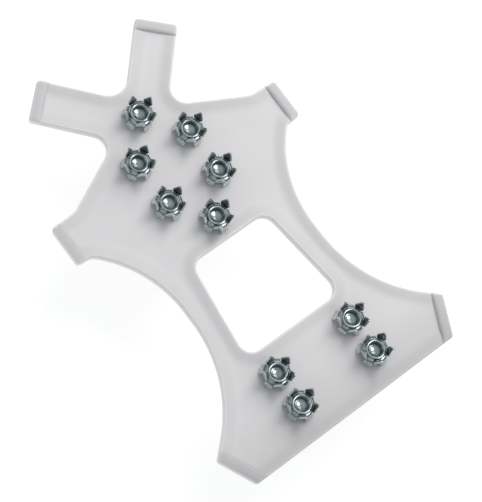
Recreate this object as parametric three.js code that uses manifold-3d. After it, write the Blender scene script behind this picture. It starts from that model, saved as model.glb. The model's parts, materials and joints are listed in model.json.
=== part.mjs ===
// A strap-on shoe ice cleat: one stretchy moulded web with six arms that hook round the shoe's sole,
// and ten studs, each a stamped steel crown clamped through the web by a semi-tubular rivet and washer.
// Millimetres. The cleat lies flat with its studs up (+Z) and its shoe side on Z = 0; +Y points to the
// toe. The outline is drawn about the line through the two forefoot wings, then centred on its own box.
import * as THREE from 'three';
import { mergeVertices } from 'three/addons/utils/BufferGeometryUtils.js';
import Module from 'manifold-3d';

const wasm = await Module();
wasm.setup();

// Web
const WEB_THICKNESS = 3;
const CORNER_RADIUS = 1.5;
const FOLD_GAP = 0.3;

// Toe straps: they splay outwards from the toe-heel line
const STRAP_ANGLE = THREE.MathUtils.degToRad(43);
const STRAP_WIDTH = 17;
const STRAP_END = new THREE.Vector2(29.7, 53.8);
const STRAP_LENGTH = 25;
const NOTCH_RADIUS = 8;
const STRAP_ROOT = [13, 23.5, 6];

// Forefoot wings
const WING_X = 54;
const WING_HALF = 8.4;
const WING_LENGTH = 14.5;
const WING_SHOULDER = [42.5, 8.9, 10];
const WING_HOOK = [47.6, -8.9, 3];

// Waist: two long hollow sweeps either side of the arch
const WAIST_X = 31.3;
const FRONT_SWEEP = [WAIST_X, -25, 50];
const REAR_SWEEP = [WAIST_X, -75.4, 56];

// Heel wings and heel edge
const HEEL_FRONT = new THREE.Vector2(55.8, -97.8);
const HEEL_REAR = new THREE.Vector2(48.5, -113.3);
const HEEL_LENGTH = 14.5;

// Arch window
const WINDOW_FRONT = [18, -32.3];
const WINDOW_REAR = [23, -73.7];
const WINDOW_RADIUS = 5.5;

// Raised bar along the end of every arm
const LIP_WIDTH = 4.5;
const LIP_HEIGHT = 1.3;
const LIP_INSET = 0.6;

// Studs
const CLEARANCE = 0.2;
const SHEET = 1;
const RIVET_BORE = 2.6;
const RIVET_BORE_DEPTH = 2.6;
const RIVET_DISH = 0.5;
const RIVET_OUTER = 3.3;
const RIVET_HEAD = 5.2;
const RIVET_RIM = 4.2;
const RIM_HEIGHT = 1;
const WASHER_SHEET = 0.6;
const SHANK_HOLE = RIVET_OUTER + 0.3;
const WASHER_RADIUS = 6;
const HEAD_Z = 0.15;
const HEAD_SHEET = 0.6;
const WASHER_Z = HEAD_Z + HEAD_SHEET + CLEARANCE;
const RECESS_RADIUS = WASHER_RADIUS + 0.3;
const RECESS_DEPTH = WASHER_Z + WASHER_SHEET + CLEARANCE;
const TEETH = 5;
const DISC_RADIUS = 5.7;
const PETAL_DROP = 3.2;
const PETAL_HALF = 2.1;
const PETAL_FLARE = THREE.MathUtils.degToRad(12);
const TOOTH_HEIGHT = 5;
const TOOTH_HALF = 2;
const TOOTH_TIP = 0.4;
const TOOTH_FLARE = THREE.MathUtils.degToRad(7);
const TAB_OVERLAP = 0.1;
const DISC_Z = WEB_THICKNESS + CLEARANCE + PETAL_DROP;
const ROUND_SEGMENTS = 11;
const RIVET_SEGMENTS = 16;
const ARC_STEP = THREE.MathUtils.degToRad(12);

// name, x, y, turn of the crown about its rivet in degrees
const STUDS = [
  ['toe', 0, 26, 0],
  ['fore_left', -12.5, 10.2, 12],
  ['fore_right', 12.5, 10.2, 0],
  ['rear_left', -12.1, -9, 0],
  ['rear_right', 12.1, -9, 0],
  ['arch', 0, -23.3, 0],
  ['heel_front_left', -18.2, -84.7, 0],
  ['heel_front_right', 18.2, -84.7, 0],
  ['heel_back_left', -18.2, -99.5, 0],
  ['heel_back_right', 18.2, -99.5, 8],
];

const material = {
  web: new THREE.MeshStandardMaterial({ color: 0xd4d2d5, roughness: 0.45, metalness: 0 }),
  crown: new THREE.MeshStandardMaterial({ color: 0x9fabab, roughness: 0.25, metalness: 1 }),
  rivet: new THREE.MeshStandardMaterial({ color: 0xb4bcbc, roughness: 0.2, metalness: 1 }),
  washer: new THREE.MeshStandardMaterial({ color: 0xa8b0b0, roughness: 0.35, metalness: 1 }),
};

// ---- solids -------------------------------------------------------------------------------------

function toSolid(geometry) {
  const bare = geometry.clone();
  bare.deleteAttribute('normal');
  bare.deleteAttribute('uv');
  const merged = mergeVertices(bare, 1e-4);
  return new wasm.Manifold(new wasm.Mesh({
    numProp: 3,
    vertProperties: new Float32Array(merged.attributes.position.array),
    triVerts: new Uint32Array(merged.index.array),
  }));
}

function toGeometry(solid) {
  const mesh = solid.getMesh();
  const geometry = new THREE.BufferGeometry();
  geometry.setAttribute('position', new THREE.BufferAttribute(mesh.vertProperties, 3));
  geometry.setIndex(new THREE.BufferAttribute(mesh.triVerts, 1));
  geometry.computeVertexNormals();
  return geometry;
}

function extrude(points, depth, z = 0) {
  const options = { depth, bevelEnabled: false };
  return new THREE.ExtrudeGeometry(new THREE.Shape(points), options).translate(0, 0, z);
}

// An upright bar with its long axis across `direction`, reaching `depth` along it from `point`.
function regionBeyond(point, direction, depth, halfWidth, low, high) {
  const angle = Math.atan2(direction.y, direction.x);
  const box = new THREE.BoxGeometry(depth, 2 * halfWidth, high - low);
  box.translate(depth / 2, 0, (low + high) / 2);
  box.rotateZ(angle);
  return box.translate(point.x, point.y, 0);
}

// ---- outline ------------------------------------------------------------------------------------

// The direction from one corner [x, y, radius] to another.
function headingTo([toX, toY], [fromX, fromY]) {
  return new THREE.Vector2(toX - fromX, toY - fromY).normalize();
}

// Turns a closed run of corners [x, y, radius] into points, with an arc of that radius at each corner.
function roundCorners(corners) {
  const points = [];
  corners.forEach((corner, i) => {
    const [x, y, radius] = corner;
    const back = headingTo(corners.at(i - 1), corner);
    const ahead = headingTo(corners[(i + 1) % corners.length], corner);
    const half = Math.acos(THREE.MathUtils.clamp(back.dot(ahead), -1, 1)) / 2;
    const reach = radius / Math.tan(half);
    const inwards = back.clone().add(ahead).setLength(radius / Math.sin(half));
    const start = back.multiplyScalar(reach).sub(inwards);
    const end = ahead.multiplyScalar(reach).sub(inwards);
    const middle = inwards.add(new THREE.Vector2(x, y));
    const turn = Math.atan2(start.cross(end), start.dot(end));
    const steps = Math.max(2, Math.ceil(Math.abs(turn) / ARC_STEP));
    for (let k = 0; k <= steps; k += 1) {
      points.push(start.clone().rotateAround(new THREE.Vector2(), (turn * k) / steps).add(middle));
    }
  });
  return points;
}

const strapDirection = new THREE.Vector2(Math.sin(STRAP_ANGLE), Math.cos(STRAP_ANGLE));
const strapAcross = new THREE.Vector2(strapDirection.y, -strapDirection.x);
const strapInner = STRAP_END.clone().addScaledVector(strapAcross, -STRAP_WIDTH / 2);
const strapOuter = STRAP_END.clone().addScaledVector(strapAcross, STRAP_WIDTH / 2);
const notchY = strapInner.y - strapInner.x / Math.tan(STRAP_ANGLE);

const rightSide = [
  [strapInner.x, strapInner.y, CORNER_RADIUS],
  [strapOuter.x, strapOuter.y, CORNER_RADIUS],
  STRAP_ROOT,
  WING_SHOULDER,
  [WING_X, WING_HALF, CORNER_RADIUS],
  [WING_X, -WING_HALF, CORNER_RADIUS],
  WING_HOOK,
  FRONT_SWEEP,
  REAR_SWEEP,
  [HEEL_FRONT.x, HEEL_FRONT.y, CORNER_RADIUS],
  [HEEL_REAR.x, HEEL_REAR.y, CORNER_RADIUS],
];
const mirrored = (corners) => corners.map(([x, y, radius]) => [-x, y, radius]).reverse();
const outline = roundCorners([[0, notchY, NOTCH_RADIUS], ...rightSide, ...mirrored(rightSide)]);
const windowSide = [[...WINDOW_FRONT, WINDOW_RADIUS], [...WINDOW_REAR, WINDOW_RADIUS]];
const windowOutline = roundCorners([...windowSide, ...mirrored(windowSide)]);

// ---- web and arms -------------------------------------------------------------------------------

const heelAlong = HEEL_FRONT.clone().sub(HEEL_REAR).normalize();
const heelDirection = new THREE.Vector2(heelAlong.y, -heelAlong.x);
const heelEnd = HEEL_FRONT.clone().add(HEEL_REAR).multiplyScalar(0.5);

// Each arm on the right side: the middle of its end, the way it points, and how long it is.
const ARMS = [
  { name: 'toe_strap', end: STRAP_END, direction: strapDirection, length: STRAP_LENGTH, reach: 11,
    lip: STRAP_WIDTH },
  { name: 'forefoot_wing', end: new THREE.Vector2(WING_X, 0), direction: new THREE.Vector2(1, 0),
    length: WING_LENGTH, reach: 22, lip: 2 * WING_HALF },
  { name: 'heel_wing', end: heelEnd, direction: heelDirection, length: HEEL_LENGTH, reach: 22,
    lip: HEEL_FRONT.distanceTo(HEEL_REAR) },
];

function mirrorArm(arm) {
  return {
    ...arm,
    end: new THREE.Vector2(-arm.end.x, arm.end.y),
    direction: new THREE.Vector2(-arm.direction.x, arm.direction.y),
  };
}

// An upright round cutter through the underside, centred on a stud.
function cutter(x, y, radius, halfHeight) {
  const round = new THREE.CylinderGeometry(radius, radius, 2 * halfHeight, RIVET_SEGMENTS);
  return toSolid(round.rotateX(Math.PI / 2).translate(x, y, 0));
}

function buildPlate() {
  let plate = toSolid(extrude(outline, WEB_THICKNESS));
  plate = plate.subtract(toSolid(extrude(windowOutline, WEB_THICKNESS + 2, -1)));
  for (const [, x, y] of STUDS) {
    plate = plate.subtract(cutter(x, y, SHANK_HOLE, WEB_THICKNESS + 1));
    plate = plate.subtract(cutter(x, y, RECESS_RADIUS, RECESS_DEPTH));
  }
  return plate;
}

// The bar on an arm's end, bevelled along its top edges and a little inside the arm's outline.
function buildLip(arm) {
  const half = arm.lip / 2 - LIP_INSET;
  const top = WEB_THICKNESS + LIP_HEIGHT;
  const profile = [
    [0, WEB_THICKNESS - 1], [LIP_WIDTH, WEB_THICKNESS - 1], [LIP_WIDTH, WEB_THICKNESS + LIP_HEIGHT / 2],
    [LIP_WIDTH - LIP_HEIGHT / 2, top], [LIP_HEIGHT / 2, top], [0, WEB_THICKNESS + LIP_HEIGHT / 2],
  ].map(([x, y]) => new THREE.Vector2(x, y));
  const bar = extrude(profile, 2 * half, -half);
  bar.rotateX(Math.PI / 2);
  bar.translate(-LIP_WIDTH - LIP_INSET, 0, 0);
  bar.rotateZ(Math.atan2(arm.direction.y, arm.direction.x));
  return toSolid(bar.translate(arm.end.x, arm.end.y, 0));
}

// The plate is parted along every arm's fold line: beyond it lies the arm, short of it the web.
function buildWebAndArms() {
  const plate = buildPlate();
  const solids = {};
  let web = plate;
  for (const [side, place] of [['left', mirrorArm], ['right', (arm) => arm]]) {
    for (const arm of ARMS.map(place)) {
      const depth = arm.length + 5;
      const low = -1;
      const high = WEB_THICKNESS + LIP_HEIGHT + 1;
      const foldPoint = arm.end.clone().addScaledVector(arm.direction, -arm.length);
      const gapPoint = foldPoint.clone().addScaledVector(arm.direction, FOLD_GAP);
      const beyondFold = regionBeyond(foldPoint, arm.direction, depth, arm.reach, low, high);
      const beyondGap = regionBeyond(gapPoint, arm.direction, depth, arm.reach, low, high);
      solids[`${arm.name}_${side}`] = plate.intersect(toSolid(beyondGap)).add(buildLip(arm));
      web = web.subtract(toSolid(beyondFold));
    }
  }
  return { web, ...solids };
}

// ---- studs --------------------------------------------------------------------------------------

// A flat tab of sheet standing on the crown's rim, its face square to the radius, leaning outwards.
function buildTab(points, angle, lean) {
  const tab = extrude(points.map(([x, y]) => new THREE.Vector2(x, y)), SHEET, -SHEET / 2);
  tab.rotateX(Math.PI / 2);
  tab.rotateX(lean);
  tab.translate(0, DISC_RADIUS - SHEET / 2, 0);
  tab.rotateZ(angle);
  return toSolid(tab.translate(0, 0, DISC_Z));
}

// Five pointed teeth are bent up from the disc and five round-ended petals bent down between them.
function buildCrown() {
  const disc = new THREE.Shape().absarc(0, 0, DISC_RADIUS, 0, 2 * Math.PI, false);
  disc.holes.push(new THREE.Path().absarc(0, 0, SHANK_HOLE, 0, 2 * Math.PI, true));
  const options = { depth: SHEET, bevelEnabled: false, curveSegments: ROUND_SEGMENTS };
  let crown = toSolid(new THREE.ExtrudeGeometry(disc, options).translate(0, 0, DISC_Z));
  const tooth = [
    [-TOOTH_HALF, TAB_OVERLAP], [TOOTH_HALF, TAB_OVERLAP], [TOOTH_HALF, SHEET],
    [TOOTH_TIP, SHEET + TOOTH_HEIGHT], [-TOOTH_TIP, SHEET + TOOTH_HEIGHT], [-TOOTH_HALF, SHEET],
  ];
  const petalTop = SHEET - TAB_OVERLAP;
  const petalWaist = -PETAL_DROP / 2;
  const petalFoot = PETAL_HALF / 2;
  const petal = [
    [-PETAL_HALF, petalTop], [-PETAL_HALF, petalWaist], [-petalFoot, -PETAL_DROP],
    [petalFoot, -PETAL_DROP], [PETAL_HALF, petalWaist], [PETAL_HALF, petalTop],
  ];
  for (let i = 0; i < TEETH; i += 1) {
    const angle = (2 * Math.PI * i) / TEETH;
    crown = crown.add(buildTab(tooth, angle, -TOOTH_FLARE));
    crown = crown.add(buildTab(petal, angle + Math.PI / TEETH, PETAL_FLARE));
  }
  return toGeometry(crown);
}

// A round head on the shoe side, a shank, and a hollow end rolled over the crown's disc.
function buildRivet() {
  const seat = DISC_Z + SHEET + CLEARANCE / 2;
  const top = seat + RIM_HEIGHT;
  const bottom = top - RIVET_BORE_DEPTH;
  const profile = [
    [0, HEAD_Z], [RIVET_HEAD, HEAD_Z], [RIVET_HEAD, HEAD_Z + HEAD_SHEET],
    [RIVET_OUTER, HEAD_Z + HEAD_SHEET], [RIVET_OUTER, seat], [RIVET_RIM, seat],
    [RIVET_RIM, seat + RIM_HEIGHT / 2], [(RIVET_RIM + RIVET_BORE) / 2, top],
    [RIVET_BORE, seat + RIM_HEIGHT / 2], [RIVET_BORE, bottom], [0, bottom - RIVET_DISH],
  ].map(([radius, z]) => new THREE.Vector2(radius, z));
  return new THREE.LatheGeometry(profile, RIVET_SEGMENTS).rotateX(Math.PI / 2);
}

function buildWasher() {
  const profile = [
    [SHANK_HOLE, WASHER_Z], [WASHER_RADIUS, WASHER_Z], [WASHER_RADIUS, WASHER_Z + WASHER_SHEET],
    [SHANK_HOLE, WASHER_Z + WASHER_SHEET], [SHANK_HOLE, WASHER_Z],
  ].map(([radius, z]) => new THREE.Vector2(radius, z));
  return new THREE.LatheGeometry(profile, RIVET_SEGMENTS).rotateX(Math.PI / 2);
}

// ---- assembly -----------------------------------------------------------------------------------

const group = new THREE.Group();
const cleat = new THREE.Group();
group.add(cleat);

for (const [name, solid] of Object.entries(buildWebAndArms())) {
  const mesh = new THREE.Mesh(toGeometry(solid), material.web);
  mesh.name = name;
  cleat.add(mesh);
}

const pieces = { crown: buildCrown(), rivet: buildRivet(), washer: buildWasher() };
for (const [place, x, y, turn] of STUDS) {
  for (const [kind, geometry] of Object.entries(pieces)) {
    const mesh = new THREE.Mesh(geometry, material[kind]);
    mesh.name = `${kind}_${place}`;
    mesh.position.set(x, y, 0);
    mesh.rotation.z = kind === 'crown' ? THREE.MathUtils.degToRad(turn) : 0;
    cleat.add(mesh);
  }
}

const frontY = Math.max(...outline.map((point) => point.y));
const backY = Math.min(...outline.map((point) => point.y));
cleat.position.y = -(frontY + backY) / 2;

export default group;
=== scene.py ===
"""A strap-on shoe ice cleat: a milky moulded web with six arms, and ten riveted steel crown studs.

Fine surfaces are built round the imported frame, in its axes: +Z up, +Y to the toe, shoe side on Z = 0.
Shapes are drawn in millimetres, the web's outline about the line through the forefoot wings as the
design has it, and every mesh is turned into metres when it is made.
"""
import json
import math

import bpy
import numpy as np
from mathutils import Matrix, Vector
from mathutils.geometry import delaunay_2d_cdt


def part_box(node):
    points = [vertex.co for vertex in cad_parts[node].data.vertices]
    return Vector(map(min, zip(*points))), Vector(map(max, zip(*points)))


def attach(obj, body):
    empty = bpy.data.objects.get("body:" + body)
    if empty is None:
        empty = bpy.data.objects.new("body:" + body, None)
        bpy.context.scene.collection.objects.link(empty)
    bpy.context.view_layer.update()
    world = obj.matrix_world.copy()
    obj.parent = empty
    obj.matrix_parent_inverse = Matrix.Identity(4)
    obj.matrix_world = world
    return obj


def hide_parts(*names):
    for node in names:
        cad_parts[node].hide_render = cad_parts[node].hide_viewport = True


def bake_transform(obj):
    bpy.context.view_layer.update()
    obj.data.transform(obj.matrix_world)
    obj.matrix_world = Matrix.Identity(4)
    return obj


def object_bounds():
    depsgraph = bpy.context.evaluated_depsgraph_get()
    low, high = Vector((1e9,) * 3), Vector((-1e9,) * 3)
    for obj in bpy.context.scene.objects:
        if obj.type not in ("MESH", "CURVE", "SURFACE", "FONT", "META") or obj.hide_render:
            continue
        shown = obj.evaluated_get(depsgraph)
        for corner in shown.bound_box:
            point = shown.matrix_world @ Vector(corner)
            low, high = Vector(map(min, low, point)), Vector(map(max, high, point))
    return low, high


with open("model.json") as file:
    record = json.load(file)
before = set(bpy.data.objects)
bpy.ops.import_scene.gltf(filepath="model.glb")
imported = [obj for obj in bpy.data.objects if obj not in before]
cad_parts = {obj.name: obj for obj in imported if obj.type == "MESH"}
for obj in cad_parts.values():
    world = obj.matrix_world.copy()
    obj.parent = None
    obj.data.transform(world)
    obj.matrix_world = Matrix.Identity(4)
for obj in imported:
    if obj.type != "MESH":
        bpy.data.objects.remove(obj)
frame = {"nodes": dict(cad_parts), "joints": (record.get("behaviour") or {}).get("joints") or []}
cad_low, cad_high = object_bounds()

MM = 0.001

# Web outline
STRAP_ANGLE = math.radians(43)
STRAP_WIDTH = 17.0
STRAP_END = np.array((29.7, 53.8))
NOTCH_RADIUS = 8.0
CORNER_RADIUS = 1.5
STRAP_ROOT = (13.0, 23.5, 6.0)
WING_X = 54.0
WING_HALF = 8.4
WING_SHOULDER = (42.5, 8.9, 10.0)
WING_HOOK = (47.6, -8.9, 3.0)
FRONT_SWEEP = (31.3, -25.0, 50.0)
REAR_SWEEP = (31.3, -75.4, 56.0)
HEEL_FRONT = (55.8, -97.8, CORNER_RADIUS)
HEEL_REAR = (48.5, -113.3, CORNER_RADIUS)
WINDOW_FRONT = (18.0, -32.3, 5.5)
WINDOW_REAR = (23.0, -73.7, 5.5)

# Web section: the plate that the bars stand on, the field's and the raised rim's tops, the border's width
WEB = 3.0
FIELD = 2.85
RIM = 3.6
EDGE_ROUND = 0.75
FOOT_ROUND = 0.4
BORDER = 6.6
LIP_WIDTH = 4.7
LIP_HEIGHT = 1.3
LIP_ROUND = 1.7

# Web mesh: how deep inside the edge its lines of points, its stud rings and its grid may lie, and the
# grid's distance from studs and from the lines across the arms
OUTLINE_PITCH = 1.0
GRID_PITCH = 1.4
BORDER_LINES = (1.2, 1.7, 2.3, 2.9, 3.5, 4.1)
STUD_RING_DEPTH = 4.4
GRID_DEPTH = 4.7
GRID_FROM_STUD = 8.8
GRID_FROM_LINE = 0.5
EDGE_ARC = np.radians((22, 42, 62, 80, 90))

# Arms: half the width that belongs to one, within which its end lies, and within which its bar lies
ARM_HALF = 20
ARM_END_HALF = 16
BAR_LINE_HALF = 13

# Web tones: how far in from the edge the painted edge light and border shade reach, and how far in from the
# heel's rear edge
RIM_TONE_REACH = 6.0
HEEL_TONE_REACH = 22.0

# Studs
SHANK_HOLE = 3.6
RECESS = 6.3
RECESS_SLOPE = (RECESS - 0.05, RECESS + 0.1)
RECESS_DEPTH = 1.75
STUD_RINGS = (4.6, 5.8, RECESS_SLOPE[0], RECESS, RECESS + 0.05, RECESS_SLOPE[1], 6.9, 7.6, 8.4)
CROWN_SHEET = 1.0
CROWN_MIDDLE = 6.9
CROWN_TURNS = {"fore_left": 12.0, "heel_back_right": 8.0}
BEND_START = 4.15
BEND_RADIUS = 1.0
TOOTH_LEAN = math.radians(7)
PETAL_LEAN = math.radians(12)
TOOTH_TOP = 12.4
PETAL_FOOT = FIELD - 0.05
SLIT_ANGLE = math.radians(18)
SLIT_HALF = 0.14
SLIT_ROOT = 4.22

# How far along an arm its bend reaches from the fold
BEND_LENGTH = {"toe_strap": 13.0, "forefoot_wing": 10.0, "heel_wing": 10.0}


# ---- plane shapes ---------------------------------------------------------------------------------

def unit(vector):
    return vector / np.linalg.norm(vector)


def across(vector):
    return np.array((-vector[1], vector[0]))


def ramp(value, low, high):
    """Rises smoothly from 0 at low to 1 at high."""
    share = np.clip((value - low) / (high - low), 0, 1)
    return share * share * (3 - 2 * share)


def spread(start, end, pitch):
    """Points from start up to but not including end, no more than pitch apart."""
    steps = max(1, math.ceil(np.linalg.norm(end - start) / pitch))
    return [start + (end - start) * k / steps for k in range(steps)]


def round_corners(corners, pitch, turn=math.radians(7)):
    """A closed run of corners (x, y, radius) as points, with an arc at each corner."""
    arcs = []
    for i, (x, y, radius) in enumerate(corners):
        corner = np.array((x, y))
        back = unit(np.array(corners[i - 1][:2]) - corner)
        ahead = unit(np.array(corners[(i + 1) % len(corners)][:2]) - corner)
        half = math.acos(np.clip(back @ ahead, -1, 1)) / 2
        middle = corner + unit(back + ahead) * radius / math.sin(half)
        start = corner + back * radius / math.tan(half) - middle
        end = corner + ahead * radius / math.tan(half) - middle
        sweep = math.atan2(start @ -across(end), start @ end)
        steps = max(2, math.ceil(abs(sweep) / min(turn, pitch / radius)))
        angles = math.atan2(start[1], start[0]) + sweep * np.arange(steps + 1) / steps
        arcs.append(middle + radius * np.column_stack((np.cos(angles), np.sin(angles))))
    points = []
    for arc, following in zip(arcs, arcs[1:] + arcs[:1]):
        points.extend(arc[:-1])
        points.extend(spread(arc[-1], following[0], pitch))
    return np.array(points)


def circle(centre, radius, count):
    angles = 2 * math.pi * np.arange(count) / count
    return centre + radius * np.column_stack((np.cos(angles), np.sin(angles)))


def mirrored(corners):
    return [(-x, y, radius) for x, y, radius in reversed(corners)]


def turned(loop, way):
    """The loop, running anticlockwise for way 1 and clockwise for way -1."""
    x, y = loop.T
    area = np.sum(x * np.roll(y, -1) - y * np.roll(x, -1))
    return loop if area * way > 0 else loop[::-1]


def depth(points, loops):
    """Distance from each point to the nearest loop."""
    nearest = np.full(len(points), np.inf)
    for loop in loops:
        start, run = loop, np.roll(loop, -1, 0) - loop
        length = (run ** 2).sum(1)
        for at in range(0, len(points), 2000):
            offset = points[at:at + 2000, None] - start
            share = np.clip((offset * run).sum(2) / length, 0, 1)
            gap = offset - share[..., None] * run
            best = np.sqrt((gap ** 2).sum(2)).min(1)
            nearest[at:at + 2000] = np.minimum(nearest[at:at + 2000], best)
    return nearest


def inside(points, loops):
    """True where an upward ray from the point crosses the loops an odd number of times."""
    crossings = np.zeros(len(points), int)
    for loop in loops:
        (x0, y0), (x1, y1) = loop.T, np.roll(loop, -1, 0).T
        for at in range(0, len(points), 2000):
            x, y = points[at:at + 2000, 0, None], points[at:at + 2000, 1, None]
            spans = (x0 > x) != (x1 > x)
            level = y0 + (x - x0) / np.where(x1 == x0, 1, x1 - x0) * (y1 - y0)
            crossings[at:at + 2000] += (spans & (level > y)).sum(1)
    return crossings % 2 == 1


def rings_inside(loops, offsets):
    """Runs of points at each offset inside the loops, left out where another edge is nearer."""
    runs = []
    for loop in loops:
        ahead = np.roll(loop, -1, 0) - loop
        ahead /= np.linalg.norm(ahead, axis=1)[:, None]
        along = ahead + np.roll(ahead, 1, 0)
        along /= np.linalg.norm(along, axis=1)[:, None]
        inward = np.column_stack((-along[:, 1], along[:, 0]))
        for offset in offsets:
            ring = loop + inward * offset
            kept = depth(ring, loops) > offset * 0.99 - 0.002
            runs.append((ring, kept, True))
    return runs


def triangulate(loops, runs, grid):
    """Splits the region inside the loops into triangles whose edges follow the loops and the runs."""
    points, edges = [], []
    for line, kept, closed in [(loop, np.ones(len(loop), bool), True) for loop in loops] + runs:
        index = np.cumsum(kept) - 1 + len(points)
        points.extend(line[kept])
        last = len(line) if closed else len(line) - 1
        for i in range(last):
            j = (i + 1) % len(line)
            if kept[i] and kept[j]:
                edges.append((int(index[i]), int(index[j])))
    points.extend(grid)
    made = delaunay_2d_cdt([Vector(p) for p in points], edges, [], 0, 1e-5)
    flat = np.array([tuple(v) for v in made[0]])
    triangles = np.array(made[2])
    triangles = triangles[inside(flat[triangles].mean(1), loops)]
    a, b, c = (flat[triangles[:, i]] for i in range(3))
    area = (b - a)[:, 0] * (c - a)[:, 1] - (b - a)[:, 1] * (c - a)[:, 0]
    triangles[area < 0] = triangles[area < 0][:, ::-1]
    sliver = np.abs(area) < 0.001
    sliver[sliver] = depth(flat[triangles[sliver]].mean(1), loops) < 0.003
    return flat, triangles[~sliver]


def hexagonal_grid(low, high, pitch):
    rows = np.arange(low[1], high[1], pitch * math.sqrt(3) / 2)
    across_row = np.arange(low[0], high[0], pitch)
    return np.array([(x + (i % 2) * pitch / 2, y) for i, y in enumerate(rows) for x in across_row])


def open_edges(triangles):
    """The directed edges that only one triangle has, as an array of point pairs."""
    edges = np.concatenate((triangles[:, [0, 1]], triangles[:, [1, 2]], triangles[:, [2, 0]]))
    known = {tuple(edge) for edge in edges.tolist()}
    return [edge for edge in edges.tolist() if (edge[1], edge[0]) not in known]


def shell(flat, triangles, top, foot):
    """A closed solid between two heights over the same triangles: its vertices and faces in mm."""
    used, faces = np.unique(triangles, return_inverse=True)
    faces = faces.reshape(-1, 3)
    count = len(used)
    upper = np.column_stack((flat[used], top[used]))
    lower = np.column_stack((flat[used], foot[used]))
    walls = [(a, a + count, b + count, b) for a, b in open_edges(faces)]
    skin = faces.tolist() + (faces[:, ::-1] + count).tolist()
    return np.concatenate((upper, lower)), skin + walls, used


def make_object(name, vertices, faces, material, sharp=math.radians(40)):
    """A smooth-shaded mesh object from vertices in mm, with creases where faces meet steeply."""
    mesh = bpy.data.meshes.new(name)
    mesh.from_pydata((np.asarray(vertices) * MM).tolist(), [], [list(map(int, f)) for f in faces])
    mesh.polygons.foreach_set("use_smooth", [True] * len(mesh.polygons))
    mesh.set_sharp_from_angle(angle=sharp)
    mesh.materials.append(material)
    made = bpy.data.objects.new(name, mesh)
    bpy.context.scene.collection.objects.link(made)
    return made


def add_attribute(made, name, values):
    layer = made.data.attributes.new(name, "FLOAT", "POINT")
    layer.data.foreach_set("value", np.asarray(values, np.float32))


# ---- materials ------------------------------------------------------------------------------------

def new_material(name):
    material = bpy.data.materials.new(name)
    material.use_nodes = True
    nodes, links = material.node_tree.nodes, material.node_tree.links
    return material, nodes, links, nodes["Principled BSDF"]


def attribute(nodes, name):
    node = nodes.new("ShaderNodeAttribute")
    node.attribute_name = name
    return node.outputs["Fac"]


def noise_texture(nodes, links, coordinate, scale, detail=3.0):
    texture = nodes.new("ShaderNodeTexNoise")
    texture.inputs["Scale"].default_value = scale
    texture.inputs["Detail"].default_value = detail
    links.new(coordinate, texture.inputs["Vector"])
    return texture.outputs["Fac"]


def value_range(nodes, links, source, low, high):
    """Carries the middle half of a noise's range over to the range from low to high."""
    node = nodes.new("ShaderNodeMapRange")
    node.inputs["From Min"].default_value = 0.25
    node.inputs["From Max"].default_value = 0.75
    node.inputs["To Min"].default_value = low
    node.inputs["To Max"].default_value = high
    links.new(source, node.inputs["Value"])
    return node.outputs["Result"]


def color_ramp(nodes, links, source, stops):
    node = nodes.new("ShaderNodeValToRGB")
    elements = node.color_ramp.elements
    while len(elements) < len(stops):
        elements.new(0.5)
    for element, (position, color) in zip(elements, stops):
        element.position = position
        element.color = (*color, 1)
    links.new(source, node.inputs["Fac"])
    return node.outputs["Color"]


def multiply(nodes, links, first, second, share):
    node = nodes.new("ShaderNodeMix")
    node.data_type = "RGBA"
    node.blend_type = "MULTIPLY"
    node.inputs["Factor"].default_value = share
    links.new(first, node.inputs["A"])
    links.new(second, node.inputs["B"])
    return node.outputs["Result"]


def bump(nodes, links, shader, height, strength, distance):
    node = nodes.new("ShaderNodeBump")
    node.inputs["Strength"].default_value = strength
    node.inputs["Distance"].default_value = distance
    links.new(height, node.inputs["Height"])
    links.new(node.outputs["Normal"], shader.inputs["Normal"])


def rubber_material():
    """Milky, slightly lilac elastomer: painted light at its edge, painted shade on its border and its bars,
    and greyer towards the heel's rear edge.
    """
    material, nodes, links, shader = new_material("milky_rubber")
    place = nodes.new("ShaderNodeTexCoord").outputs["Object"]
    white = (1, 1, 1)
    # Painted light and shade: the pale edge colour is painted light, the greyer border colour is painted
    # shade.
    flat, border, edge = (0.645, 0.624, 0.637), (0.590, 0.571, 0.583), (0.76, 0.745, 0.755)
    zones = color_ramp(nodes, links, attribute(nodes, "rim_depth"), [
        (0.0, edge), (0.04, edge), (0.2, border), (0.6, border), (1.0, flat)])
    along = nodes.new("ShaderNodeSeparateXYZ")
    links.new(place, along.inputs["Vector"])
    from_heel = nodes.new("ShaderNodeMapRange")
    from_heel.inputs["From Min"].default_value = cad_low.y
    from_heel.inputs["From Max"].default_value = cad_low.y + HEEL_TONE_REACH * MM
    links.new(along.outputs["Y"], from_heel.inputs["Value"])
    heel = color_ramp(nodes, links, from_heel.outputs["Result"], [(0.0, (0.82, 0.82, 0.82)), (1.0, white)])
    zones = multiply(nodes, links, zones, heel, 1)
    # Painted shade: the bars on the arms' ends are darkened.
    bars = color_ramp(nodes, links, attribute(nodes, "bar"), [(0.0, white), (0.9, (0.90, 0.90, 0.905))])
    zones = multiply(nodes, links, zones, bars, 1)
    clouds = noise_texture(nodes, links, place, 38, 4)
    tint = color_ramp(nodes, links, clouds, [(0.3, (0.93, 0.95, 0.95)), (0.7, white)])
    links.new(multiply(nodes, links, zones, tint, 0.8), shader.inputs["Base Color"])
    links.new(value_range(nodes, links, noise_texture(nodes, links, place, 160), 0.36, 0.46),
              shader.inputs["Roughness"])
    shader.inputs["IOR"].default_value = 1.45
    bump(nodes, links, shader, noise_texture(nodes, links, place, 1400, 2), 0.12, 0.00008)
    return material


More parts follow.
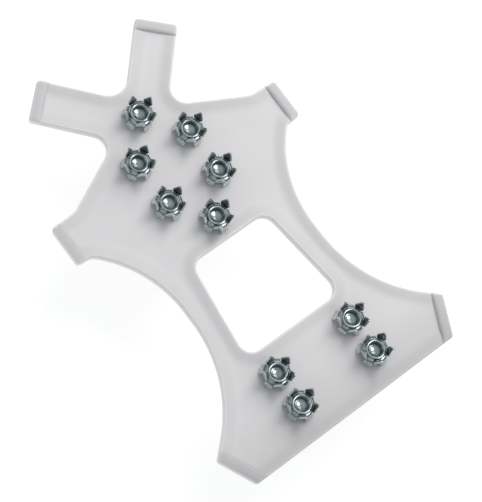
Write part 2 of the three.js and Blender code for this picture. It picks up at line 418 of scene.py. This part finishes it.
def steel_material(name, bright, dark, smooth, rough, grain):
    """Plated steel: faint cloudy tarnish, uneven gloss and fine grain, with painted shade where its shade
    attribute says so.
    """
    material, nodes, links, shader = new_material(name)
    place = nodes.new("ShaderNodeTexCoord").outputs["Object"]
    tarnish = noise_texture(nodes, links, place, 420, 5)
    plated = color_ramp(nodes, links, tarnish, [(0.35, dark), (0.62, bright)])
    # Painted shade: the shade attribute darkens the colour where dark reflections and shade fall.
    shade = attribute(nodes, "shade")
    darkening = color_ramp(nodes, links, shade, [(0, (1, 1, 1)), (1, (0.10, 0.12, 0.12))])
    links.new(multiply(nodes, links, plated, darkening, 1), shader.inputs["Base Color"])
    links.new(value_range(nodes, links, noise_texture(nodes, links, place, 900, 4), smooth, rough),
              shader.inputs["Roughness"])
    shader.inputs["Metallic"].default_value = 1
    bump(nodes, links, shader, noise_texture(nodes, links, place, 2600, 3), grain, 0.00003)
    return material


# ---- web ------------------------------------------------------------------------------------------

strap_along = np.array((math.sin(STRAP_ANGLE), math.cos(STRAP_ANGLE)))
strap_inner = STRAP_END + across(strap_along) * STRAP_WIDTH / 2
strap_outer = STRAP_END - across(strap_along) * STRAP_WIDTH / 2
notch_y = strap_inner[1] - strap_inner[0] / math.tan(STRAP_ANGLE)
RIGHT_SIDE = [
    (*strap_inner, CORNER_RADIUS), (*strap_outer, CORNER_RADIUS), STRAP_ROOT, WING_SHOULDER,
    (WING_X, WING_HALF, CORNER_RADIUS), (WING_X, -WING_HALF, CORNER_RADIUS), WING_HOOK,
    FRONT_SWEEP, REAR_SWEEP, HEEL_FRONT, HEEL_REAR,
]
outline = round_corners([(0, notch_y, NOTCH_RADIUS), *RIGHT_SIDE, *mirrored(RIGHT_SIDE)], OUTLINE_PITCH)
window_side = [WINDOW_FRONT, WINDOW_REAR]
window = round_corners([*window_side, *mirrored(window_side)], OUTLINE_PITCH)
centring = np.array((0, -(outline[:, 1].max() + outline[:, 1].min()) / 2))
edge_loops = [turned(outline + centring, 1), turned(window + centring, -1)]

STUDS = sorted(name.removeprefix("rivet_") for name in frame["nodes"] if name.startswith("rivet_"))


def stud_centre(place):
    low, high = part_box(f"rivet_{place}")
    return np.array(((low + high) / 2).to_2d()) / MM


class Arm:
    """One arm as its joint and its node give it: where it folds, which way it points, where it ends."""

    def __init__(self, joint):
        self.name = joint["child"]
        self.fold = np.array(joint["pos_m"][:2]) / MM
        low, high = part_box(self.name)
        towards = np.array(((low + high) / 2).to_2d()) / MM - self.fold
        line = unit(np.array(joint["axis"][:2]))
        self.across = line
        self.along = unit(towards - line * (towards @ line))
        corners = edge_loops[0]
        reach = (corners - self.fold) @ self.along
        near = np.abs((corners - self.fold) @ line) < ARM_END_HALF
        self.length = reach[near].max()
        self.bend = next(v for key, v in BEND_LENGTH.items() if self.name.startswith(key))

    def holds(self, points):
        away = (points - self.fold) @ self.along
        aside = np.abs((points - self.fold) @ self.across)
        return (away > 0) & (away < self.length + 1) & (aside < ARM_HALF)

    def from_end(self, points):
        return self.length - (points - self.fold) @ self.along

    def line(self, away, half):
        middle = self.fold + self.along * away
        return np.array(spread(middle - self.across * half, middle + self.across * half, OUTLINE_PITCH))


arms = [Arm(joint) for joint in frame["joints"]]


def rounded(value, radius):
    """The height of a quarter-round edge, 0 at its outer end and the radius at its inner end."""
    return np.sqrt(radius ** 2 - (radius - np.clip(value, 0, radius)) ** 2)


def bar_share(points, rim_depth):
    """How far each point has climbed onto the bar at an arm's end, from 0 off it to 1 on its top."""
    share = np.zeros(len(points))
    for arm in arms:
        into_bar = np.minimum(rim_depth, LIP_WIDTH - arm.from_end(points))
        share = np.where(arm.holds(points), rounded(into_bar, LIP_ROUND) / LIP_ROUND, share)
    return share


def top_height(rim_depth, on_bar):
    """A round raised edge, a hollow border that sinks to the flat field, and bars on the arms' ends."""
    height = RIM - EDGE_ROUND + rounded(rim_depth, EDGE_ROUND)
    inward = np.clip((rim_depth - EDGE_ROUND) / (BORDER - EDGE_ROUND), 0, 1)
    height -= (RIM - FIELD) * np.sin(inward * math.pi / 2) ** 1.4
    return height + (WEB + LIP_HEIGHT - height) * on_bar


def foot_height(rim_depth, to_stud):
    """Flat, with a small round edge, and a recess for the washer under each stud."""
    height = FOOT_ROUND - rounded(rim_depth, FOOT_ROUND)
    return height + RECESS_DEPTH * (1 - ramp(to_stud, *RECESS_SLOPE))


def from_studs(points, centres):
    return np.linalg.norm(points[:, None] - centres, axis=2).min(1)


def web_mesh():
    """The whole moulding in plan: points and triangles, with lines of points along everything that bends."""
    centres = np.array([stud_centre(place) for place in STUDS])
    holes = [turned(circle(centre, SHANK_HOLE, 48), -1) for centre in centres]
    loops = edge_loops + holes
    edge_offsets = EDGE_ROUND * (1 - np.cos(EDGE_ARC))
    runs = rings_inside(edge_loops, [*edge_offsets, *BORDER_LINES])
    for centre in centres:
        for radius in STUD_RINGS:
            ring = circle(centre, radius, 60)
            runs.append((ring, depth(ring, edge_loops) > STUD_RING_DEPTH, True))
    inner_face = LIP_WIDTH - LIP_ROUND * (1 - np.cos([0, *EDGE_ARC]))
    for arm in arms:
        for away in [0, *(arm.length - inner_face)]:
            line = arm.line(away, BAR_LINE_HALF if away else ARM_HALF)
            runs.append((line, np.ones(len(line), bool), False))
    grid = hexagonal_grid(edge_loops[0].min(0), edge_loops[0].max(0), GRID_PITCH)
    grid = grid[inside(grid, edge_loops)]
    clear = (depth(grid, edge_loops) > GRID_DEPTH) & (from_studs(grid, centres) > GRID_FROM_STUD)
    for arm in arms:
        for away in (0, arm.length - LIP_WIDTH):
            clear &= np.abs((grid - arm.fold) @ arm.along - away) > GRID_FROM_LINE
    return *triangulate(loops, runs, grid[clear]), centres


def build_web():
    """The web and its six arms, cut from one moulding along the fold lines."""
    flat, triangles, centres = web_mesh()
    rim_depth = depth(flat, edge_loops)
    on_bar = bar_share(flat, rim_depth)
    top, foot = top_height(rim_depth, on_bar), foot_height(rim_depth, from_studs(flat, centres))
    middles = flat[triangles].mean(1)
    parts = {arm.name: arm.holds(middles) for arm in arms}
    parts["web"] = ~np.any(list(parts.values()), axis=0)
    material = rubber_material()
    whole = make_object("whole_web", *shell(flat, triangles, top, foot)[:2], material)
    normals = np.array([tuple(v.vector) for v in whole.data.vertex_normals])
    bpy.data.objects.remove(whole)
    order = np.unique(triangles)
    upper_normal = dict(zip(order.tolist(), normals[:len(order)]))
    lower_normal = dict(zip(order.tolist(), normals[len(order):]))
    rim_edges = {tuple(sorted(edge)) for edge in open_edges(triangles)}
    made = {}
    for name, own in parts.items():
        vertices, faces, used = shell(flat, triangles[own], top, foot)
        piece = make_object(f"{name}_moulding", vertices, faces, material)
        add_attribute(piece, "rim_depth", np.tile(np.clip(rim_depth[used] / RIM_TONE_REACH, 0, 1), 2))
        add_attribute(piece, "bar", np.tile(on_bar[used], 2))
        match_section_normals(piece, used, rim_edges, upper_normal, lower_normal)
        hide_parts(name)
        made[name] = piece
    return made


def match_section_normals(piece, used, rim_edges, upper_normal, lower_normal):
    """Gives both sides of a fold line the whole web's normals, so that the parting doesn't show."""
    mesh, count = piece.data, len(used)
    index = used.tolist()
    cuts = set()
    cut_faces = set()
    for face in mesh.polygons:
        if len(face.vertices) != 4:
            continue
        ends = sorted({v % count for v in face.vertices})
        if tuple(sorted((index[ends[0]], index[ends[1]]))) not in rim_edges:
            cuts.update(ends)
            cut_faces.add(face.index)
    normals = np.zeros((len(mesh.loops), 3))
    for face in mesh.polygons:
        if face.index in cut_faces:
            continue
        for at in face.loop_indices:
            vertex = mesh.loops[at].vertex_index
            if vertex % count in cuts:
                known = upper_normal if vertex < count else lower_normal
                normals[at] = known[index[vertex % count]]
    mesh.normals_split_custom_set(normals.tolist())


web_pieces = build_web()
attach(web_pieces["web"], "web")
for arm in arms:
    start = np.array((*arm.fold, 0)) * MM
    end = start + np.array((*arm.along, 0)) * arm.bend * MM
    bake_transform(web_pieces[arm.name])


# ---- studs ----------------------------------------------------------------------------------------

def beside_slit(radius, side):
    """A point on the edge of the slit between a tooth and a petal, in the frame of the tab beside it."""
    along = np.array((math.cos(SLIT_ANGLE), math.sin(SLIT_ANGLE)))
    point = along * radius - across(along) * SLIT_HALF
    return point[0], side * point[1]


def straight_length(rise, lean):
    """How long a tab runs on straight after its bend, to end this far from the sheet's middle."""
    return (rise - BEND_RADIUS * (1 - math.sin(lean))) / math.cos(lean)


def tab_end(rise, lean):
    return BEND_START + BEND_RADIUS * (math.pi / 2 - lean) + straight_length(rise, lean)


def blank_outline():
    """The flat stamping: ten tabs round a disc, pointed and rounded by turns, parted by slits."""
    tip = tab_end(TOOTH_TOP - CROWN_MIDDLE, TOOTH_LEAN)
    foot = tab_end(CROWN_MIDDLE - PETAL_FOOT, PETAL_LEAN)
    root = (*beside_slit(SLIT_ROOT, -1), 0.1)
    tooth = [root, (*beside_slit(6.85, -1), 0.5), (tip, -0.42, 0.36)]
    petal = [root, (*beside_slit(6.2, -1), 1.0), (foot, -2.15, 1.9)]
    corners = []
    for k in range(10):
        half = petal if k % 2 else tooth
        tab = half + [(x, -y, radius) for x, y, radius in reversed(half)]
        c, s = math.cos(k * 2 * SLIT_ANGLE), math.sin(k * 2 * SLIT_ANGLE)
        corners.extend((x * c - y * s, x * s + y * c, radius) for x, y, radius in tab)
    return round_corners(corners, 0.3, math.radians(14))


def bent(vertices):
    """Bends the blank's tabs about their roots: teeth up, petals down."""
    result = vertices.copy()
    angle = np.arctan2(vertices[:, 1], vertices[:, 0])
    tab = np.round(angle / (2 * SLIT_ANGLE)).astype(int)
    for k in range(-5, 6):
        own = tab == k
        up = 1 if k % 2 == 0 else -1
        lean = TOOTH_LEAN if up == 1 else PETAL_LEAN
        c, s = math.cos(k * 2 * SLIT_ANGLE), math.sin(k * 2 * SLIT_ANGLE)
        x, y, z = vertices[own].T
        out, aside, thick = x * c + y * s, -x * s + y * c, z * up
        full = math.pi / 2 - lean
        turn = np.clip((out - BEND_START) / BEND_RADIUS, 0, full)
        beyond = np.clip(out - BEND_START - BEND_RADIUS * full, 0, None)
        reach = np.minimum(out, BEND_START) + (BEND_RADIUS - thick) * np.sin(turn) + beyond * np.cos(turn)
        rise = BEND_RADIUS - (BEND_RADIUS - thick) * np.cos(turn) + beyond * np.sin(turn)
        result[own] = np.column_stack((reach * c - aside * s, reach * s + aside * c, rise * up))
    return result


def build_crown():
    """One crown about its own axis: vertices, faces, and painted shade inside the teeth and on the petals'
    bends.
    """
    hole = turned(circle(np.zeros(2), SHANK_HOLE - 0.2, 48), -1)
    loops = [turned(blank_outline(), 1), hole]
    round_edge = 0.22
    offsets = round_edge * (1 - np.cos(np.radians((35, 62, 90))))
    grid = hexagonal_grid(loops[0].min(0), loops[0].max(0), 0.42)
    grid = grid[inside(grid, loops)]
    grid = grid[depth(grid, loops) > round_edge + 0.2]
    flat, triangles = triangulate(loops, rings_inside(loops, offsets), grid)
    rim_depth = depth(flat, loops)
    half = CROWN_SHEET / 2 - round_edge + rounded(rim_depth, round_edge)
    blank, faces, _ = shell(flat, triangles, half, -half)
    tab = np.round(np.arctan2(blank[:, 1], blank[:, 0]) / (2 * SLIT_ANGLE))
    out = np.hypot(*blank[:, :2].T) - BEND_START
    upper = blank[:, 2] > 0
    # Painted shade: dark reflections inside the teeth and on the petals' bends.
    tooth_shade = 0.75 * ramp(out, 0.6, 1.5)
    petal_shade = 0.3 * ramp(out, 0, 0.4) * ramp(-out, -1.7, -1.0)
    vertices = bent(blank)
    vertices[:, 2] += CROWN_MIDDLE
    return vertices, faces, np.where(tab % 2 == 0, tooth_shade, petal_shade) * upper


def arc_points(centre, radius, start, end, steps):
    angles = np.radians(np.linspace(start, end, steps + 1))
    return [(centre[0] + radius * math.cos(a), centre[1] + radius * math.sin(a)) for a in angles]


def lathe(profile, segments):
    """The profile (radius, z) turned about the Z axis: closed on itself, or ending on the axis twice."""
    profile = np.array(profile)
    angles = 2 * math.pi * np.arange(segments) / segments
    vertices = [(r * math.cos(a), r * math.sin(a), z) for a in angles for r, z in profile]
    count = len(profile)
    faces = []
    for i in range(segments):
        here, there = i * count, ((i + 1) % segments) * count
        for j in range(count):
            k = (j + 1) % count
            faces.append((here + j, there + j, there + k, here + k))
    if profile[0][0] == profile[-1][0] == 0:
        low, high = len(vertices), len(vertices) + 1
        vertices += [(0, 0, profile[0][1]), (0, 0, profile[-1][1])]
        poles = {i * count: low for i in range(segments)}
        poles.update({i * count + count - 1: high for i in range(segments)})
        faces = [tuple(dict.fromkeys(poles.get(v, v) for v in face)) for face in faces]
        faces = [face for face in faces if len(face) > 2]
    return np.array(vertices), faces


def build_rivet():
    """A semi-tubular rivet: a head on the shoe side, a shank, and a rolled end, with painted shade down its
    bore.
    """
    bore, shank, head, head_low, head_top = 2.55, 3.3, 5.2, 0.15, 0.75
    seat = CROWN_MIDDLE + CROWN_SHEET / 2
    floor, floor_round, dish = seat - 1.6, 0.25, 0.5
    head_round, head_top_round = 0.28, 0.2
    roll, roll_foot, roll_middle = 0.84, 0.36, 3.42
    profile = [(0, head_low), (2.5, head_low), (head - 0.8, head_low),
               *arc_points((head - head_round, head_low + head_round), head_round, -90, 0, 4),
               *arc_points((head - head_top_round, head_top - head_top_round), head_top_round, 0, 90, 3),
               (shank + 0.2, head_top), (shank, head_top + 0.2), (shank, seat),
               *arc_points((3.9, seat + roll_foot), roll_foot, -90, 0, 5),
               *arc_points((roll_middle, seat + 0.28), roll, 8, 172, 16)[1:],
               *[(bore, z) for z in np.linspace(seat - 0.2, floor + 0.2, 5)],
               *arc_points((bore - floor_round, floor + 0.2), floor_round, 0, -70, 4)[1:],
               *[(r, floor - dish * (1 - (r / 2.2) ** 2)) for r in np.linspace(2.0, 0, 9)]]
    vertices, faces = lathe(profile, 72)
    radius = np.hypot(*vertices[:, :2].T)
    down = 1 - ramp(vertices[:, 2], CROWN_MIDDLE, CROWN_MIDDLE + 1.2)
    # Painted shade down the bore's walls.
    return vertices, faces, 0.55 * down * ramp(radius, 1.4, 2.4) * (radius < 2.8)


def build_washer():
    low, high, edge = 0.95, 1.55, 0.12
    inner, outer = SHANK_HOLE, 6.0
    profile = [(inner, low + edge), (inner + edge, low),
               *arc_points((outer - edge, low + edge), edge, -90, 0, 3),
               *arc_points((outer - edge, high - edge), edge, 0, 90, 3),
               (inner + edge, high), (inner, high - edge)]
    vertices, faces = lathe(profile, 72)
    return vertices, faces, np.zeros(len(vertices))


def build_studs():
    """A crown, a rivet and a washer at each stud's place, turned as the frame has them."""
    crown = steel_material("crown_steel_with_painted_shade", (0.74, 0.79, 0.80), (0.56, 0.62, 0.62), 0.2, 0.34, 0.2)
    rivet = steel_material("rivet_steel_with_painted_shade", (0.60, 0.65, 0.66), (0.44, 0.49, 0.49), 0.14, 0.26, 0.12)
    washer = steel_material("washer_steel_finish", (0.66, 0.70, 0.70), (0.50, 0.54, 0.54), 0.28, 0.42, 0.25)
    kinds = [("crown", "stamping", build_crown(), crown), ("rivet", "eyelet", build_rivet(), rivet),
             ("washer", "ring", build_washer(), washer)]
    for place in STUDS:
        start = math.pi / 2 + math.radians(CROWN_TURNS.get(place, 0))
        c, s = math.cos(start), math.sin(start)
        turn = np.array(((c, -s, 0), (s, c, 0), (0, 0, 1)))
        for kind, word, (vertices, faces, shade), material in kinds:
            placed = vertices @ turn.T + np.array((*stud_centre(place), 0))
            piece = make_object(f"{kind}_{place}_{word}", placed, faces, material, math.radians(50))
            add_attribute(piece, "shade", shade)
            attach(piece, "web")
            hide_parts(f"{kind}_{place}")


build_studs()


# ---- stage ----------------------------------------------------------------------------------------

FLOOR_Z = -0.030


def make_card(name, corners, material):
    mesh = bpy.data.meshes.new(name)
    mesh.from_pydata([tuple(c) for c in corners], [], [tuple(range(len(corners)))])
    mesh.materials.append(material)
    card = bpy.data.objects.new(name, mesh)
    bpy.context.scene.collection.objects.link(card)
    return card


def make_floor():
    """A pale floor that glows a little, as a light table does, so that shadows on it stay faint."""
    half = 6.0
    corners = [(-half, -half, FLOOR_Z), (half, -half, FLOOR_Z), (half, half, FLOOR_Z), (-half, half, FLOOR_Z)]
    material, nodes, links, shader = new_material("pale_floor")
    shader.inputs["Base Color"].default_value = (0.3, 0.3, 0.3, 1)
    shader.inputs["Roughness"].default_value = 0.9
    shader.inputs["Emission Color"].default_value = (1, 1, 1, 1)
    shader.inputs["Emission Strength"].default_value = 0.78
    make_card("floor", corners, material)


def compass(azimuth, elevation):
    """A direction from the cleat: azimuth 0 is +X and 90 is +Y, elevation is above the floor."""
    a, e = math.radians(azimuth), math.radians(elevation)
    return Vector((math.cos(a) * math.cos(e), math.sin(a) * math.cos(e), math.sin(e)))


def glow_material(name, color, strength):
    material, nodes, links, shader = new_material(name)
    shader.inputs["Base Color"].default_value = (0, 0, 0, 1)
    shader.inputs["Specular IOR Level"].default_value = 0
    shader.inputs["Emission Color"].default_value = (*color, 1)
    shader.inputs["Emission Strength"].default_value = strength
    return material


def seen_in_steel_only(card):
    card.visible_camera = False
    card.visible_diffuse = False
    card.visible_shadow = False
    card.visible_transmission = False


def make_reflector(name, azimuth, elevation, distance, width, height, color, strength):
    """A glowing card seen only in reflections, facing the cleat from a compass direction."""
    out = compass(azimuth, elevation)
    side = Vector((0, 0, 1)).cross(out).normalized() * width / 2
    rise = out.cross(side).normalized() * height / 2
    middle = out * distance
    corners = [middle - side - rise, middle + side - rise, middle + side + rise, middle - side + rise]
    seen_in_steel_only(make_card(name, corners, glow_material(f"{name}_glow", color, strength)))


def make_dome():
    """A dim hemisphere seen only in reflections, which gives the steel its grey-green darks."""
    rings, segments, radius = 10, 32, 3.0
    levels = [90 * i / rings for i in range(rings)]
    corners = [compass(360 * j / segments, level) * radius for level in levels for j in range(segments)]
    corners.append(Vector((0, 0, radius)))
    faces = []
    for i in range(rings - 1):
        for j in range(segments):
            k = (j + 1) % segments
            faces.append((i * segments + j, i * segments + k, (i + 1) * segments + k, (i + 1) * segments + j))
    last = (rings - 1) * segments
    faces.extend((last + j, last + (j + 1) % segments, len(corners) - 1) for j in range(segments))
    mesh = bpy.data.meshes.new("reflected_dome")
    mesh.from_pydata([tuple(c) for c in corners], [], faces)
    material = glow_material("dome_glow", (1, 1, 1), 1)
    nodes, links = material.node_tree.nodes, material.node_tree.links
    height = nodes.new("ShaderNodeSeparateXYZ")
    links.new(nodes.new("ShaderNodeTexCoord").outputs["Object"], height.inputs["Vector"])
    share = nodes.new("ShaderNodeMapRange")
    share.inputs["From Max"].default_value = radius
    links.new(height.outputs["Z"], share.inputs["Value"])
    stops = [(0.0, (0.10, 0.12, 0.12)), (0.35, (0.11, 0.135, 0.135)), (0.75, (0.30, 0.34, 0.36)),
             (1.0, (0.40, 0.45, 0.48))]
    glow = nodes["Principled BSDF"].inputs["Emission Color"]
    links.new(color_ramp(nodes, links, share.outputs["Result"], stops), glow)
    mesh.materials.append(material)
    dome = bpy.data.objects.new("reflected_dome", mesh)
    bpy.context.scene.collection.objects.link(dome)
    seen_in_steel_only(dome)


def make_area_light(name, azimuth, elevation, distance, size, energy, color):
    data = bpy.data.lights.new(name, "AREA")
    data.size = size
    data.energy = energy
    data.color = color
    light = bpy.data.objects.new(name, data)
    bpy.context.scene.collection.objects.link(light)
    out = compass(azimuth, elevation)
    light.location = out * distance
    light.rotation_mode = "QUATERNION"
    light.rotation_quaternion = out.to_track_quat("Z", "Y")
    light.visible_glossy = False


def make_world():
    """Soft daylight, which the camera itself sees as a white backdrop."""
    world = bpy.data.worlds.new("soft_daylight")
    world.use_nodes = True
    nodes, links = world.node_tree.nodes, world.node_tree.links
    daylight = nodes["Background"]
    daylight.inputs["Color"].default_value = (0.94, 0.985, 1.0, 1)
    daylight.inputs["Strength"].default_value = 0.60
    backdrop = nodes.new("ShaderNodeBackground")
    backdrop.inputs["Color"].default_value = (1, 1, 1, 1)
    seen = nodes.new("ShaderNodeMixShader")
    links.new(nodes.new("ShaderNodeLightPath").outputs["Is Camera Ray"], seen.inputs["Fac"])
    links.new(daylight.outputs["Background"], seen.inputs[1])
    links.new(backdrop.outputs["Background"], seen.inputs[2])
    links.new(seen.outputs["Shader"], nodes["World Output"].inputs["Surface"])
    bpy.context.scene.world = world


TILT = math.radians(20)
ROLL = math.radians(36)
CAMERA_SIDE = Vector((-0.951, -0.309, 0))
CAMERA_DISTANCE = 0.70
FILL = 0.93
FRAME_ASPECT = 482 / 502


def make_camera():
    """Looks down at the cleat from its left, rolled so that its toe points up and left."""
    back = CAMERA_SIDE * math.sin(TILT) + Vector((0, 0, math.cos(TILT)))
    far = -CAMERA_SIDE * math.cos(TILT) + Vector((0, 0, math.sin(TILT)))
    level = far.cross(back)
    up = far * math.cos(ROLL) - level * math.sin(ROLL)
    right = up.cross(back)
    data = bpy.data.cameras.new("camera")
    data.sensor_fit = "AUTO"
    data.sensor_width = 36
    camera = bpy.data.objects.new("camera", data)
    bpy.context.scene.collection.objects.link(camera)
    aim = Vector((0, 0, 0))
    points = [Vector((x * MM, y * MM, z * MM)) for x, y in edge_loops[0] for z in (0, WEB + LIP_HEIGHT)]
    for _ in range(4):
        eye = aim + back * CAMERA_DISTANCE
        seen = [((p - eye).dot(right) / (eye - p).dot(back), (p - eye).dot(up) / (eye - p).dot(back))
                for p in points]
        (left, low), (most_right, high) = map(min, zip(*seen)), map(max, zip(*seen))
        aim += right * (left + most_right) / 2 * CAMERA_DISTANCE + up * (low + high) / 2 * CAMERA_DISTANCE
    tall = max((high - low) / FILL, (most_right - left) / FILL / FRAME_ASPECT)
    data.lens = data.sensor_width / tall
    camera.matrix_world = Matrix((right, up, back)).transposed().to_4x4()
    camera.location = aim + back * CAMERA_DISTANCE
    data.clip_start, data.clip_end = 0.01, 20
    bpy.context.scene.camera = camera


def make_stage():
    make_camera()
    make_floor()
    make_world()
    make_area_light("key", 24, 50, 0.9, 0.6, 6.0, (1.0, 0.975, 0.955))
    make_dome()
    make_reflector("window_key", 14, 53, 1.2, 0.5, 0.35, (1, 1, 1), 1.5)
    make_reflector("window_left", 150, 34, 1.2, 0.7, 0.5, (0.85, 0.94, 1.0), 0.9)
    make_reflector("window_heel", -44, 59, 1.2, 0.45, 0.45, (1, 1, 1), 4.0)
    bpy.context.scene.view_settings.view_transform = "Standard"


make_stage()
